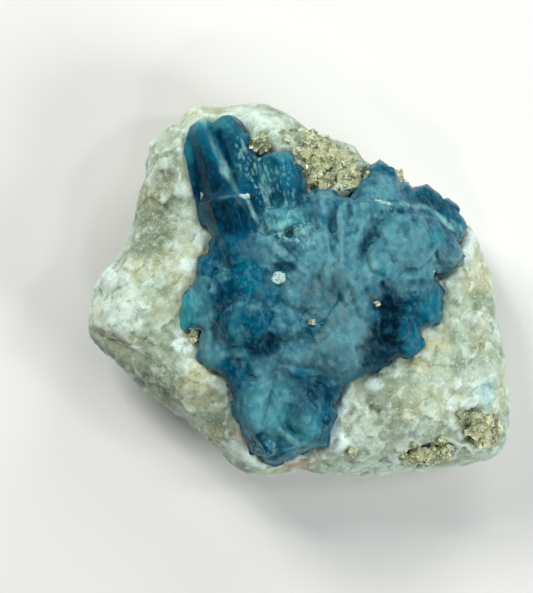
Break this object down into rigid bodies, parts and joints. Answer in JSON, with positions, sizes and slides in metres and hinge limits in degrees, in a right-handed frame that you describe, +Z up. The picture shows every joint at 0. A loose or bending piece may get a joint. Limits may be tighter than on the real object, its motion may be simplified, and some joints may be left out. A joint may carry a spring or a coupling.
{
  "type": "afghanite crystal cluster",
  "caption": "Intergrown blue afghanite prisms and stubby crystals in a flat-based lump of white marble with nests of pyrite cubes; rests crystals up.",
  "frame": {"origin": "on the resting plane, under the middle of the stone's box", "axes": "+Z up, away from the resting face; +X along the stone's longest side; +Y towards the end with the long prisms"},
  "size_m": [0.032, 0.0284, 0.0133],
  "materials": {
    "marble": "pale greenish-white sugary marble, broken rough, with olive-grey and cream stains",
    "afghanite": "translucent teal to navy crystal with satin, finely etched faces",
    "pyrite": "pale brassy metallic cubes, some tarnished grey",
    "calcite": "white granular calcite"
  },
  "bodies": {
    "root": {"matrix": "marble", "afghanite_cluster": "afghanite", "pyrite_druse": "pyrite", "pyrite_corner_nest": "pyrite", "pyrite_lower_band": "pyrite", "pyrite_peak_grain": "pyrite", "pyrite_rim_grain": "pyrite", "pyrite_side_grain": "pyrite", "pyrite_speck_centre": "pyrite", "pyrite_speck_right": "pyrite", "pyrite_speck_marble": "pyrite", "pyrite_speck_lower": "pyrite", "pyrite_speck_low_right": "pyrite", "calcite_ridge_sliver": "calcite", "calcite_centre_grain": "calcite", "calcite_cleft_grain": "calcite"}
  },
  "joints": []
}
